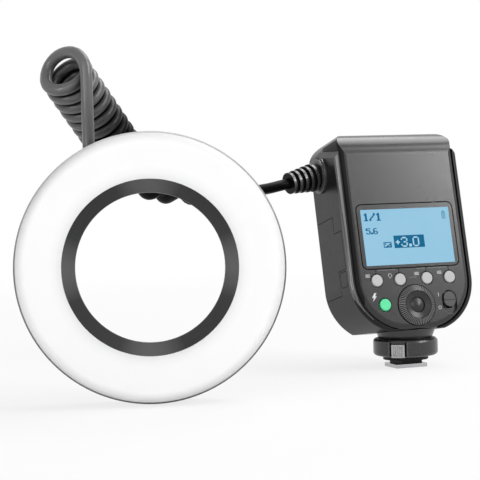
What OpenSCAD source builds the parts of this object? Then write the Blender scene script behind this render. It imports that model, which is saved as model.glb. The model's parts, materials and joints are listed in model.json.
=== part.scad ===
// Macro ring flash: a ring head with a white diffuser, a curly cord and a controller
// whose foot slides into a camera's accessory shoe. Millimetres.
// Origin: centre of the shoe foot's underside. +Z is up and the control panel faces -Y.

/* [Ring head] */
// Outer radius of the ring head
ring_r = 64; // [63:0.5:68]
// Depth of the ring head from front to back
ring_depth = 30; // [29:0.5:34]
// Wall of the ring's rear shell
ring_wall = 2; // [1.6:0.1:2.4]
// Radius of the clear hole for the lens
hole_r = 35.8; // [34:0.1:36.4]
// Length of the straight stretch of the lens hole
hole_len = 4; // [3:0.5:6]
// Radius of the bezel's front edge
bezel_r = 41.3; // [40.5:0.1:42]
// Wall of the bezel
bezel_wall = 1.8; // [1.4:0.1:2.2]
// Radius of the socket for the lens adapter
socket_r = 38.5; // [38:0.1:39]
// Depth of the socket for the lens adapter
socket_len = 6; // [5.5:0.5:7]
// Thickness of the diffuser
diffuser_t = 2; // [1.5:0.1:2.5]
// Radius of the diffuser's outer edge
diffuser_round = 5; // [4:0.5:6]
// Depth at which the diffuser meets the rear shell
rim_y = 8; // [7:0.5:9]
// Radius of a flash tube's glass
tube_r = 2.6; // [2:0.1:3]
// Travel of an adapter latch
latch_travel = 2.5; // [1.5:0.1:3]
// Turn of the ring head towards -X, degrees
ring_yaw = 17.1; // [10:0.1:25]
// Lean of the ring head backwards, degrees
ring_lean = 3.1; // [0:0.1:6]

/* [Cord] */
// Diameter of the cord
cord_d = 6; // [5:0.1:6]
// Radius of a curl at the middle of the cord
curl_r = 10.4; // [9.5:0.1:11]
// Number of curls on the straight stretch of the coil
curls = 9; // [7:1:9]
// Distance between curls on the straight stretch
curl_pitch = 6.55; // [6.5:0.05:6.8]
// Number of curls where the coil bends
bent_curls = 4.2; // [3.2:1:4.2]
// Distance between curls where the coil bends
bent_pitch = 8.6; // [8.5:0.1:9]

/* [Controller body] */
// Half the width of the body between the side covers
body_hw = 34.2; // [33.5:0.1:36]
// Depth of the body from panel to front
body_depth = 46; // [45:0.5:50]
// Height of the body's top above its tilt axis
body_top = 108.4; // [106:0.2:114]
// Wall of the body shells
body_wall = 2.4; // [2:0.1:2.8]
// Radius of the body's lower corners
corner_r = 28; // [24:0.5:30]
// Thickness of the side covers
cover_t = 2.6; // [2.2:0.1:3]
// Backward tilt of the body, degrees
body_tilt = 13; // [10:0.5:14]
// Rise of the underside from panel to front, degrees
underside_lean = 5.5; // [4:0.5:7]

/* [Panel] */
// Width of the display window
lcd_w = 57.5; // [54:0.5:59]
// Height of the display window
lcd_h = 35.1; // [32:0.1:36]
// Diameter of the round buttons
button_d = 6.4; // [5.8:0.1:6.8]
// Travel of the buttons
button_travel = 0.8; // [0.5:0.1:1]
// Radius of the control dial
dial_r = 11; // [10:0.1:11.2]
// Number of ribs on the dial
dial_ribs = 60; // [40:4:72]
// Travel of the power switch
switch_travel = 3; // [2:0.1:3.2]

/* [Battery] */
// Height of the battery pack
battery_h = 43; // [40:0.5:44]
// Thickness of the battery pack
battery_t = 24.5; // [22:0.5:25]
// Length of the battery pack behind its face
battery_l = 54; // [48:0.5:56]

/* [Foot] */
// Width of the shoe plate
foot_w = 18.6; // [18.4:0.1:18.8]
// Length of the shoe plate
foot_l = 16; // [15:0.5:18]
// Thickness of the shoe plate
foot_t = 2; // [1.9:0.05:2.1]
// Radius of the lock collar
collar_r = 17.6; // [17:0.1:19]
// Height of the lock collar
collar_h = 9.4; // [9:0.1:10]

/* [Clearances] */
// Gap round a piece that slides or presses
slide_gap = 0.3; // [0.2:0.05:0.4]
// Radial gap of a turning fit
turn_gap = 0.06; // [0.04:0.01:0.1]
// Gap round a fixed insert
seat_gap = 0.1; // [0.05:0.05:0.2]

/* [Hidden] */
$fn = 64;

// Ring head: depths are measured from the diffuser's front face, along +Y of the ring's frame
ring_edge_r = 3;
ring_inner_r = ring_r - ring_wall;
ring_back_y = ring_depth - ring_wall;
neck_y = ring_depth - socket_len;
hole_y = neck_y - hole_len;
socket_wall = 2.2;
socket_out_r = socket_r + socket_wall;
rim_step = 1;
diffuser_r = ring_r - rim_step;
bezel_front_y = diffuser_t + seat_gap;
bezel_out_r = bezel_r + bezel_wall;
diffuser_in_r = bezel_out_r + 0.2;
flange_y = 5;
flange_t = 1.5;
flange_r = diffuser_in_r + diffuser_t + 0.2;
post_r = 2;
post_ring_r = socket_out_r + post_r + 0.5;
trough_in_r = max(post_ring_r + post_r, flange_r) + 0.8;
trough_out_r = ring_inner_r - 0.8;
board_t = 1.6;
board_boss_len = 6.4;
board_boss_r = 3;
ring_board_y = ring_back_y - board_boss_len - board_t;
sheet_t = 0.8;
trough_h = 11;
trough_front_y = ring_board_y - trough_h;
trough_floor_y = ring_board_y - sheet_t;
trough_w = trough_out_r - trough_in_r;
trough_spare = trough_w - 3 * sheet_t - 2 * tube_r;
trough_lean = 0.41 * trough_spare;
floor_w = trough_w - 3 * sheet_t - trough_lean;
tube_ring_r = trough_in_r + 2 * sheet_t + floor_w / 2;
clip_wall = 0.28 * (floor_w - 2 * tube_r);
lamp_board_w = 0.63 * floor_w;
transformer_w = 0.63 * (ring_inner_r - trough_in_r);
transformer_l = 15;
tube_y = trough_floor_y - tube_r - 2.4;
tube_arc = 146;
tube_cap_arc = 5;
clip_arc = 4;
ring_screw_r = 1;
ring_screw_head_r = 2;
ring_screw_head_h = 1.2;
ring_screw_len = 10;
ring_screw_turn = 70;
board_boss_turn = 20;
latch_w = 9;
latch_t = 2.6;
latch_y1 = ring_back_y - 0.2;
latch_y0 = latch_y1 - latch_t;
latch_tip_r = socket_r - 1.2;
latch_end_r = socket_out_r + 12.3;
latch_tab_l = 6;
latch_tab_r = latch_end_r - 0.5 - latch_tab_l;
latch_tab_proud = 1.2;
rail_t = 1.5;
rail_z = latch_w / 2 + slide_gap + rail_t / 2;
latch_tab_w = latch_w - 2;
spring_wire_r = 0.25;
spring_r = 1.05;
spring_turns = 7;
ring_low_y = ring_depth - ring_edge_r;
ring_origin = [-168, -77, ring_r * cos(ring_lean) + ring_low_y * sin(ring_lean)];
outlet_x = -28;
outlet_z = 36.5;
outlet_w = 17;
outlet_h = 12;
outlet_d = 12.5;
ring_boot_len = 8.5;
boot_core_r = 1.7;
boot_rib_share = 0.5;
outlet_top = outlet_z + outlet_h;
cord_exit_y = ring_depth + outlet_d / 2;

// Cord: points in the ring's frame, or in the part's frame where the name says row
cord_sides = 10;
curl_sides = 6;
curl_rings = 8;
coil_start = [-39, 46, 97];
coil_run = [15, 24, -22];
coil_bend_way = [1, -0.1, 0.35];
coil_bend_r = 46;
coil_side = [0, 0.6, 0.8];
loop_pull = 56;
loop_rings = 5;
tail_stub = [-28, 33, 88];
tail_mid = [[-28, 36, 63.5], [-28, 34.6, 72], [-28, 33.2, 80]];
lead_mid_row = [
    [-71, 16, 99.4], [-81, 9.5, 98.4], [-91, 4, 97.4], [-102, -0.5, 96.4],
    [-113, -2, 95.6], [-121, 1.5, 95.2]
];

// Controller body: places in the tilted body's frame, x across, y from panel to front, z up
panel_y = -17.8;
body_base_z = 20;
body_bottom = -2.5;
front_y = panel_y + body_depth;
part_y = 6;
panel_edge_r = 3.5;
front_edge_r = 8;
top_corner_r = 8;
top_rear_r = 14;
top_front_r = 18;
inner_y = panel_y + body_wall;
cover_hw = body_hw + cover_t;
cover_set_back = 1;
cover_y0 = panel_y + cover_set_back;
cover_y1 = front_y - front_edge_r - 0.2;
cover_in_x = 12;
cover_under = 1;
cover_top = 96.8;
cover_peak_y = 8;
cover_front_top = 92;
cover_bevel = 53;
cover_edge_r = 2.4;
cover_corner_r = corner_r + cover_t / 4;
lcd_z = 49.1;
lcd_corner = 3;
lcd_glass_t = 1.4;
lcd_margin = 1.6;
lcd_module_t = 5.9;
main_board_t = 1.6;
main_board_y = inner_y + lcd_module_t;
main_board_top = 69;
switch_body_h = 1.5;
switch_tip_h = 0.6;
switch_tip_y = main_board_y - switch_body_h - switch_tip_h;
button_proud = 0.8;
button_gap = 0.6;
button_flange = 1;
button_flange_t = 0.8;
stem_r = 1.3;
stem_end_y = switch_tip_y - button_travel - 0.2;
button_z = 25.1;
button_side = 12.5;
button_mid_x = 8;
button_side_x = body_hw - button_side;
button_xs = [-button_side_x, -button_mid_x, button_mid_x, button_side_x];
test_side = 15.6;
test_x = test_side - body_hw;
test_z = 11.8;
dial_z = 10.7;
dial_proud = 2.6;
dial_well = 1.2;
dial_lift = 0.3;
dial_hub_r = 6;
dial_bore_r = 4.25;
dial_dish_r = 7.7;
dial_dish_deep = 1.3;
dial_rim = 0.4;
dial_rib_h = 0.6;
hub_end_y = inner_y + 1.8;
set_r = dial_bore_r - 0.25;
set_drop = 0.3;
set_dome_r = 7;
set_flange_r = 4.7;
encoder_w = 14;
encoder_bore_r = set_flange_r + 0.5;
encoder_h = main_board_y - hub_end_y - 0.7;
power_side = 14.2;
power_x = body_hw - power_side;
power_z = 11.4;
power_w = 8.7;
power_well = 1.6;
power_knob_h = 8.2;
power_gap = 0.8;
power_stem_w = 2.6;
power_stem_h = 3;
power_flange = 1.4;
power_proud = 0.6;
slide_switch_w = 7;
slide_switch_h = 9;
slide_switch_d = 2.2;

// Battery bay and what stands round it
battery_y = -3.5;
battery_z = 20.1;
battery_face_x = -cover_hw;
battery_end_x = -body_hw + battery_l;
bay_wall = 1.2;
bay_y0 = battery_y - slide_gap;
bay_z0 = battery_z - slide_gap;
bay_t = battery_t + 2 * slide_gap;
bay_h = battery_h + 2 * slide_gap;
bay_end_x = battery_end_x + 1.6;
battery_tab_y = -13;
battery_tab_z = 33.2;
battery_tab_h = 20.6;
battery_latch_w = 7.4;
battery_latch_h = 8;
battery_latch_y = -12.9;
battery_latch_z = 23.9;
battery_latch_flange = 1;
battery_latch_flange_t = 1;
capacitor_r = 13;
capacitor_l = 46;
capacitor_y = 7;
capacitor_lift = 4.4;
bay_top = bay_z0 + bay_h + bay_wall;
capacitor_z = bay_top + capacitor_lift + capacitor_r;
cradle_t = 3;
cradle_x = 15;
boot_y = 5.7;
boot_z = 89;
boot_plug_r = 7;
boot_flange_r = 10;
boot_flange_t = 2.4;
boot_step_t = 1.3;
boot_len = 21.5;
boot_start = -0.5;
boot_droop = 10.2;
boot_yaw = 11.7;
boot_end_r = 5.9;
boot_base_r = 8.6;
boot_ribs = 6;
window_w = 44;
window_h = 34;
window_t = 1.6;
window_z = 62;
port_y = 2;
port_z = 48;
port_w = 13;
port_h = 16;
port_t = 1.6;
port_barrel_r = port_t / 2;
port_pin_r = 0.5;
port_pin_l = 0.8;
usb_w = 9;
usb_h = 3.4;
usb_face_x = body_hw - 0.2;
usb_l = 0.7 * (usb_face_x - bay_end_x - bay_wall);
usb_wall = 0.4;
usb_flange = 1.5;

// Neck and foot: places in the part's frame
neck_z1 = body_base_z + body_bottom * cos(body_tilt) - panel_y * sin(body_tilt);
foot_base_h = 4.2;
base_top = foot_t + foot_base_h;
pedestal_w = 12.2;
pedestal_h = 2.2;
disc_r = 12.3;
collar_gap = 0.2;
collar_z = base_top + collar_gap;
collar_top = collar_z + collar_h;
neck_z0 = collar_top + collar_gap;
neck_r0 = collar_r - 3;
neck_top_r = collar_r - 0.7;
spigot_r = 11.5;
collar_edge_r = 2;
release_turn = -40;
release_w = 7.1;
release_h = 7;
release_flat = 1;
release_r0 = 13.2;
release_ribs = 5;
release_rim = 0.8;
release_rib_h = 0.5;
pin_r = 0.9;
pin_y = 5.6;
pin_top = 11.9;
contact_recess = 0.05;
contact_depth = 1.5;
contact_r = 0.7;
centre_contact_r = 1.5;
contact_places = [[-4.6, 1.2], [-2.3, 3.2], [2.3, 3.2], [4.6, 1.2]];
foot_screw_places = [[-4.3, -5], [4.3, -5], [-4.6, 5.3], [4.6, 5.3]];
foot_screw_r = 1;
foot_screw_head_r = 1.7;
foot_screw_head_h = 1.1;
foot_screw_recess = 0.1;
foot_screw_len = 9;

black = [0.16, 0.16, 0.17];
dark = [0.24, 0.24, 0.25];
grey = [0.72, 0.73, 0.74];
white = [0.94, 0.95, 0.95];
metal = [0.8, 0.8, 0.82];
gold = [0.85, 0.66, 0.3];
board_green = [0.1, 0.35, 0.2];

// Frames

module on_body() {
    translate([0, 0, body_base_z]) rotate([-body_tilt, 0, 0]) children();
}

module on_ring() {
    translate(ring_origin) rotate([-ring_lean, 0, -ring_yaw]) children();
}

// Turns a solid of revolution about Z so that its axis runs along +Y
module along_y() {
    rotate([-90, 0, 0]) children();
}

// Places children on the ring at an angle from its +X, clockwise seen from behind
module round_ring(turn) {
    rotate([0, -turn, 0]) children();
}

function body_to_row(p) = [
    p[0],
    p[1] * cos(body_tilt) + p[2] * sin(body_tilt),
    body_base_z - p[1] * sin(body_tilt) + p[2] * cos(body_tilt)
];

ring_x_axis = [cos(ring_yaw), -sin(ring_yaw), 0];
ring_y_axis = [sin(ring_yaw) * cos(ring_lean), cos(ring_yaw) * cos(ring_lean), -sin(ring_lean)];
ring_z_axis = cross(ring_x_axis, ring_y_axis);

function ring_turned(p) = p[0] * ring_x_axis + p[1] * ring_y_axis + p[2] * ring_z_axis;
function ring_to_row(p) = ring_origin + ring_turned(p);

// Flat shapes

// Quarter of a ring between two radii, in the first quadrant
module quarter(outer, inner) {
    intersection() {
        difference() {
            circle(outer);
            circle(inner);
        }
        square(outer);
    }
}

module rounded(w, h, r) {
    square([w - 2 * r, h], center = true);
    square([w, h - 2 * r], center = true);
    for (sx = [-1, 1], sz = [-1, 1])
        translate([sx * (w / 2 - r), sz * (h / 2 - r)]) circle(r);
}

module stadium(w, h) {
    square([w, h - w], center = true);
    for (s = [-1, 1]) translate([0, s * (h - w) / 2]) circle(w / 2);
}

// Section of a wall edge: u is the distance from the middle, v the depth, with rounded edges
module edge_profile(u, v0, v1, e0, e1) {
    translate([0, v0 + e0]) square([u, v1 - v0 - e0 - e1]);
    translate([0, v0]) square([u - e0, e0]);
    translate([0, v1 - e1]) square([u - e1, e1]);
    translate([u - e0, v0 + e0]) circle(e0);
    translate([u - e1, v1 - e1]) circle(e1);
}

// Solids in the body's frame

// A plate shape seen from the panel, extruded from one depth to another
module panel_cut(y0, y1) {
    translate([0, y1, 0]) rotate([90, 0, 0]) linear_extrude(y1 - y0) children();
}

// Shield shape with rounded edges: straight sides, round lower corners, small top corners
module shield(hw, z0, z1, low_r, top_r, y0, y1, e0, e1) {
    mid = hw - low_r;
    low_z = z0 + low_r;
    for (s = [-1, 1]) {
        translate([s * mid, 0, low_z]) along_y() rotate_extrude() edge_profile(low_r, y0, y1, e0, e1);
        translate([s * (hw - top_r), 0, z1 - top_r])
            along_y() rotate_extrude()
                edge_profile(top_r, y0, y1, min(e0, top_r / 2), min(e1, top_r / 2));
    }
    translate([-mid, 0, low_z]) rotate([0, 90, 0])
        linear_extrude(2 * mid) edge_profile(low_r, y0, y1, e0, e1);
    translate([0, 0, low_z]) linear_extrude(z1 - top_r - low_z) {
        edge_profile(hw, y0, y1, e0, e1);
        mirror([1, 0]) edge_profile(hw, y0, y1, e0, e1);
    }
    translate([-(hw - top_r), y0, low_z]) cube([2 * (hw - top_r), y1 - y0, z1 - low_z]);
}

// Side view of the body: flat panel, rolled top, underside that rises to the front
module side_profile(d) {
    y0 = panel_y + d;
    y1 = front_y - d;
    z0 = body_bottom + d / cos(underside_lean) + d * tan(underside_lean);
    z1 = body_top - d;
    rise = (y1 - y0) * tan(underside_lean);
    r0 = top_rear_r - d;
    r1 = top_front_r - d;
    polygon([
        [y0, z0], [y1, z0 + rise],
        [y1, z1 - r1], [y1 - r1, z1], [y0 + r0, z1], [y0, z1 - r0]
    ]);
    translate([y0 + r0, z1 - r0]) circle(r0);
    translate([y1 - r1, z1 - r1]) circle(r1);
}

// The body's outer form, moved inwards by d
module core_form(d) {
    intersection() {
        shield(
            body_hw - d, body_bottom + d, body_top - d, corner_r - d, top_corner_r - d / 2,
            panel_y + d, front_y - d, panel_edge_r - d, front_edge_r - d
        );
        translate([-body_hw, 0, 0]) rotate([90, 0, 90]) linear_extrude(2 * body_hw) side_profile(d);
    }
}

// The form over the side covers
module cover_form() {
    shield(
        cover_hw, body_bottom - cover_under, body_top, cover_corner_r, top_corner_r,
        cover_y0, cover_y1, cover_edge_r, cover_edge_r
    );
}

// Front view of the body's core, taller than the covers
module core_outline() {
    translate([-body_hw, body_bottom + corner_r]) square([2 * body_hw, body_top - body_bottom]);
    translate([-body_hw + corner_r, body_bottom]) square([2 * (body_hw - corner_r), body_top]);
    for (s = [-1, 1]) translate([s * (body_hw - corner_r), body_bottom + corner_r]) circle(corner_r);
}

// Side view of a cover: its lower edge follows the underside, its top is level from the panel to a peak
module cover_side() {
    low = body_bottom + (cover_y0 - panel_y - 1) * tan(underside_lean);
    high = body_bottom + (cover_y1 - panel_y + 1) * tan(underside_lean);
    peak = cover_top + (cover_peak_y - panel_y) * tan(body_tilt);
    polygon([
        [cover_y0 - 1, low], [cover_y1 + 1, high],
        [cover_y1 + 1, cover_front_top], [cover_peak_y, peak],
        [cover_y0 - 1, cover_top + (cover_y0 - 1 - panel_y) * tan(body_tilt)]
    ]);
}

// Takes the outer corner off a cover's top
module cover_top_bevel(s) {
    translate([s * body_hw, panel_y, cover_top]) rotate([body_tilt, 0, 0]) rotate([0, s * cover_bevel, 0])
        translate([-body_depth, -body_depth, 0]) cube([2 * body_depth, 3 * body_depth, body_depth]);
}

module battery_face_shape(gap) {
    translate([battery_y - gap, battery_z - gap])
        square([battery_t + 2 * gap, battery_h + 2 * gap]);
    translate([battery_tab_y - gap, battery_tab_z - gap])
        square([battery_y - battery_tab_y + 2 * gap, battery_tab_h + 2 * gap]);
}

// A shape drawn on the body's side, y across and z up, extruded along +X
module side_cut(x0, x1) {
    translate([x0, 0, 0]) rotate([90, 0, 90]) linear_extrude(x1 - x0) children();
}

module battery_latch_shape(grow) {
    translate([battery_latch_y + battery_latch_w / 2, battery_latch_z + battery_latch_h / 2])
        rounded(battery_latch_w + 2 * grow, battery_latch_h + 2 * grow, 1.5);
}

module boot_hole() {
    translate([-cover_hw - 1, boot_y, boot_z]) rotate([0, 90, 0])
        cylinder(r = boot_plug_r + seat_gap, h = cover_t + body_wall + 2);
}

// Swept tubes

function unit(v) = v / norm(v);
function square_to(n, t) = unit(n - (n * t) * t);
function directions(p) = [
    for (i = [0 : len(p) - 1]) unit(p[min(i + 1, len(p) - 1)] - p[max(i - 1, 0)])
];
function carried(t, first) = [
    for (i = 0, n = square_to(first, t[0]); i < len(t);
         i = i + 1, n = i < len(t) ? square_to(n, t[i]) : n) n
];

// A round tube along the points, with flat ends
module tube(points, r, sides) {
    t = directions(points);
    n = carried(t, abs(t[0][2]) < 0.9 ? [0, 0, 1] : [1, 0, 0]);
    last = len(points) - 1;
    skin = [
        for (i = [0 : last], k = [0 : sides - 1])
            points[i] + r * (cos(k * 360 / sides) * n[i] + sin(k * 360 / sides) * cross(t[i], n[i]))
    ];
    sides_of = [
        for (i = [0 : last - 1], k = [0 : sides - 1])
            let (a = i * sides + k, b = i * sides + (k + 1) % sides)
                each [[a, b + sides, b], [a, a + sides, b + sides]]
    ];
    near_end = [for (k = [1 : sides - 2]) [0, k, k + 1]];
    far_end = [for (k = [1 : sides - 2]) [last * sides, last * sides + k + 1, last * sides + k]];
    polyhedron(skin, concat(sides_of, near_end, far_end));
}

// Cubic curve between two points with given pulls
function pulled(p0, m0, p1, m1, u) =
    (2 * u ^ 3 - 3 * u ^ 2 + 1) * p0 + (u ^ 3 - 2 * u ^ 2 + u) * m0
    + (3 * u ^ 2 - 2 * u ^ 3) * p1 + (u ^ 3 - u ^ 2) * m1;

// The coil's axis runs straight for the first curls, then bends to one side
coil_dir = unit(coil_run);
bend_side = square_to(coil_bend_way, coil_dir);
function bend_at(k) = max(0, k - curls) * bent_pitch / coil_bend_r * 180 / PI;
function axis_dir(k) = cos(bend_at(k)) * coil_dir + sin(bend_at(k)) * bend_side;
function axis_at(k) =
    coil_start + min(k, curls) * curl_pitch * coil_dir
    + coil_bend_r * (sin(bend_at(k)) * coil_dir + (1 - cos(bend_at(k))) * bend_side);

// A point of the helix after a number of curls from the ring's end
function curl_at(k) =
    let (along = axis_dir(k), n = square_to(coil_side, along), turn = -90 - 360 * k)
    axis_at(k) + curl_r * (cos(turn) * n + sin(turn) * cross(along, n));

all_curls = curls + bent_curls;
curl_steps = round(curl_rings * all_curls);
helix = [for (i = [0 : curl_steps]) curl_at(all_curls * i / curl_steps)];
helix_start = unit(curl_at(0.005) - curl_at(0));
helix_end = unit(curl_at(all_curls) - curl_at(all_curls - 0.005));
stub_top = tail_stub + [0, 0, cord_d];
end_loop = [
    for (k = [0 : loop_rings - 1])
        pulled(stub_top, loop_pull * [0, 0, 1], helix[0], loop_pull * helix_start, k / loop_rings)
];
coil_end = helix[curl_steps] + cord_d * helix_end;
coil_points = concat([tail_stub], end_loop, helix, [coil_end]);

// Least distance between points at least half a curl apart, less the diameter
coil_gap = min([
    for (i = [0 : len(coil_points) - 1], j = [i + curl_rings / 2 + 1 : 1 : len(coil_points) - 1])
        norm(coil_points[i] - coil_points[j])
]) - cord_d;
echo(coil_gap = coil_gap);

tail_start = [outlet_x, cord_exit_y, outlet_top + ring_boot_len];
tail_points = concat(
    [tail_start, tail_start + [0, 0, cord_d / 2]], tail_mid, [tail_stub - [0, 0, 2], tail_stub]
);

boot_dir = [-cos(boot_droop) * cos(boot_yaw), -cos(boot_droop) * sin(boot_yaw), -sin(boot_droop)];
boot_base_row = body_to_row([-cover_hw, boot_y, boot_z]);
boot_end_row = boot_base_row + boot_len * boot_dir;
lead_start_row = ring_to_row(coil_end);
lead_points = concat(
    [boot_end_row, boot_end_row + cord_d * boot_dir], lead_mid_row,
    [lead_start_row + cord_d * ring_turned(helix_end), lead_start_row]
);

// A strain relief along +Z: a cone with ribs, around the cord's end
module boot(base_r, end_r, start, len, ribs, first) {
    rib_step = len / ribs;
    rib_t = rib_step * boot_rib_share;
    translate([0, 0, start])
        cylinder(r1 = base_r - boot_core_r, r2 = end_r - boot_core_r, h = len - start);
    for (i = [first : ribs - 1]) {
        r = base_r + (end_r - base_r) * (i + 1) / ribs;
        translate([0, 0, (i + 1) * rib_step - rib_t]) cylinder(r = r, h = rib_t);
    }
}

// Ring head

module ring_sweep() {
    along_y() rotate_extrude($fn = 128) children();
}

module latch_places() {
    for (turn = [0, 180]) round_ring(turn) children();
}

module ring_rear_shell() color(black) on_ring() difference() {
    union() {
        ring_sweep() {
            translate([ring_inner_r, rim_y]) square([ring_wall, ring_low_y - rim_y]);
            translate([ring_r - ring_edge_r, ring_low_y])
                quarter(ring_edge_r, ring_edge_r - ring_wall);
            translate([socket_r, ring_back_y]) square([ring_r - ring_edge_r - socket_r, ring_wall]);
            translate([socket_r, neck_y]) square([socket_wall, socket_len]);
        }
        for (k = [0 : 3]) round_ring(board_boss_turn + 90 * k)
            translate([(trough_in_r + trough_out_r) / 2, ring_board_y + board_t, 0])
                along_y() cylinder(r = board_boss_r, h = board_boss_len + ring_wall / 2);
        latch_places() for (s = [-1, 1])
            translate([socket_out_r + 1.5, latch_y0, s * rail_z - rail_t / 2])
                cube([latch_end_r - socket_out_r + 1.5, ring_back_y - latch_y0 + ring_wall / 2, rail_t]);
    }
    latch_places() {
        translate([socket_r - 2, latch_y0 - slide_gap, -latch_w / 2 - slide_gap])
            cube([socket_wall + 4, latch_t + slide_gap + 0.2, latch_w + 2 * slide_gap]);
        translate([latch_tab_r - slide_gap, ring_back_y - 1, -latch_tab_w / 2 - slide_gap])
            cube([latch_tab_l + latch_travel + 2 * slide_gap, ring_wall + 2, latch_tab_w + 2 * slide_gap]);
    }
    for (k = [0 : 3]) round_ring(ring_screw_turn + 90 * k) translate([post_ring_r, 0, 0]) {
        translate([0, ring_back_y - 1, 0]) along_y()
            cylinder(r = ring_screw_r + 2 * seat_gap, h = ring_wall + 2);
        translate([0, ring_depth - ring_screw_head_h, 0]) along_y()
            cylinder(r = ring_screw_head_r + 2 * seat_gap, h = ring_screw_head_h + 1);
    }
}

module ring_diffuser() color(white) on_ring() ring_sweep() {
    translate([bezel_r, 0]) square([diffuser_r - diffuser_round - bezel_r, diffuser_t]);
    translate([diffuser_r - diffuser_round, diffuser_round]) mirror([0, 1])
        quarter(diffuser_round, diffuser_round - diffuser_t);
    translate([diffuser_r - diffuser_t, diffuser_round])
        square([diffuser_t, rim_y - diffuser_round]);
    translate([diffuser_in_r, 0]) square([diffuser_t, flange_y]);
}

module ring_bezel() color(black) on_ring() difference() {
    union() {
        ring_sweep() polygon([
            [bezel_r, bezel_front_y], [hole_r, hole_y], [hole_r, neck_y], [socket_r + 1, neck_y],
            [socket_r + 1, hole_y - 1], [bezel_out_r, flange_y + flange_t],
            [flange_r, flange_y + flange_t], [flange_r, flange_y], [bezel_out_r, flange_y],
            [bezel_out_r, bezel_front_y]
        ]);
        for (k = [0 : 3]) round_ring(ring_screw_turn + 90 * k)
            translate([post_ring_r, flange_y + flange_t / 2, 0]) along_y()
                cylinder(r = post_r, h = ring_back_y - flange_y - flange_t / 2);
    }
    for (k = [0 : 3]) round_ring(ring_screw_turn + 90 * k)
        translate([post_ring_r, ring_depth - ring_screw_head_h - ring_screw_len - 1, 0]) along_y()
            cylinder(r = ring_screw_r + seat_gap, h = ring_screw_len + 2);
}

module ring_reflector() color(metal) on_ring() ring_sweep() polygon([
    [trough_in_r, trough_front_y], [trough_in_r + sheet_t, trough_front_y],
    [trough_in_r + 2 * sheet_t, trough_floor_y], [trough_out_r - trough_lean - sheet_t, trough_floor_y],
    [trough_out_r - sheet_t, trough_front_y], [trough_out_r, trough_front_y],
    [trough_out_r - trough_lean, ring_board_y], [trough_in_r + sheet_t, ring_board_y]
]);

module tube_arc_at(r, arc, middle) {
    along_y() rotate([0, 0, -middle - arc / 2]) rotate_extrude(angle = arc, $fn = 128)
        translate([tube_ring_r, tube_y]) circle(r);
}

module flash_tube(middle) color([0.9, 0.95, 1]) on_ring() {
    tube_arc_at(tube_r, tube_arc, middle);
    for (s = [-1, 1])
        tube_arc_at(tube_r + 0.4, tube_cap_arc, middle + s * (tube_arc - tube_cap_arc) / 2);
}

module flash_tube_left() flash_tube(180);
module flash_tube_right() flash_tube(0);

module tube_clips() color(grey) on_ring()
    for (middle = [0, 180], s = [-1, 1])
        along_y() rotate([0, 0, -(middle + s * (tube_arc / 2 - 20)) - clip_arc / 2])
            rotate_extrude(angle = clip_arc, $fn = 128) difference() {
                translate([tube_ring_r - tube_r - clip_wall, tube_y])
                    square([2 * (tube_r + clip_wall), trough_floor_y - tube_y]);
                translate([tube_ring_r, tube_y]) circle(tube_r + seat_gap);
            }

module modelling_lamps() color([1, 0.95, 0.7]) on_ring()
    for (middle = [90, 270]) along_y() {
        rotate([0, 0, -middle - 11]) rotate_extrude(angle = 22, $fn = 128)
            translate([tube_ring_r - lamp_board_w / 2, trough_floor_y - 1]) square([lamp_board_w, 1]);
        for (k = [-1 : 1]) rotate([0, 0, -middle + 7 * k])
            translate([tube_ring_r, 0, trough_floor_y - 2]) cylinder(r = 1.6, h = 1.5);
    }

module ring_board() color(board_green) on_ring() ring_sweep()
    translate([trough_in_r, ring_board_y]) square([ring_inner_r - 0.4 - trough_in_r, board_t]);

module trigger_transformer() color([0.7, 0.55, 0.2]) on_ring() round_ring(245)
    translate([tube_ring_r, ring_board_y + board_t, 0]) along_y() {
        linear_extrude(1.2) rounded(transformer_w, transformer_l, 1);
        cylinder(r = 0.36 * transformer_w, h = 4.6);
        translate([0, 0, 4.6]) linear_extrude(1) rounded(0.8 * transformer_w, 0.8 * transformer_l, 1);
    }

module ring_screws() color(metal) on_ring()
    for (k = [0 : 3]) round_ring(ring_screw_turn + 90 * k)
        translate([post_ring_r, ring_depth - ring_screw_head_h, 0]) along_y() difference() {
            union() {
                cylinder(r = ring_screw_head_r, h = ring_screw_head_h - 0.1);
                translate([0, 0, -ring_screw_len]) cylinder(r = ring_screw_r, h = ring_screw_len + 0.5);
            }
            for (q = [0, 90]) rotate([0, 0, q])
                translate([-1.2, -0.2, ring_screw_head_h - 0.6]) cube([2.4, 0.4, 1]);
        }

module adapter_latch(turn) color(dark) on_ring() round_ring(turn) {
    tab_h = ring_depth + latch_tab_proud - latch_y1 + 0.5;
    translate([latch_tip_r, latch_y0, -latch_w / 2])
        cube([latch_end_r - latch_tip_r, latch_t, latch_w]);
    translate([latch_tab_r, latch_y1 - 0.5, -latch_tab_w / 2]) difference() {
        cube([latch_tab_l, tab_h, latch_tab_w]);
        for (i = [1 : 3]) translate([i * latch_tab_l / 4 - 0.3, tab_h - 0.5, -1])
            cube([0.6, 1, latch_w]);
    }
}

module adapter_latch_left() adapter_latch(180);
module adapter_latch_right() adapter_latch(0);

// A compression spring between a latch and the shell's wall
module latch_spring(turn) color(metal) on_ring() round_ring(turn) {
    gap = 0.05;
    from = latch_end_r + spring_wire_r + gap;
    to = ring_inner_r - 2 * spring_wire_r - gap;
    steps = spring_turns * curl_rings;
    tube([
        for (i = [0 : steps]) [
            from + (to - from) * i / steps,
            (latch_y0 + latch_y1) / 2 + spring_r * cos(i * 360 / curl_rings),
            spring_r * sin(i * 360 / curl_rings)
        ]
    ], spring_wire_r, curl_sides);
}

module latch_spring_left() latch_spring(180);
module latch_spring_right() latch_spring(0);

module cord_outlet() color(black) on_ring()
    translate([outlet_x, ring_depth, outlet_z + outlet_h / 2]) rotate([-90, 0, 0])
        linear_extrude(outlet_d) rounded(outlet_w, outlet_h, 3);

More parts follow.
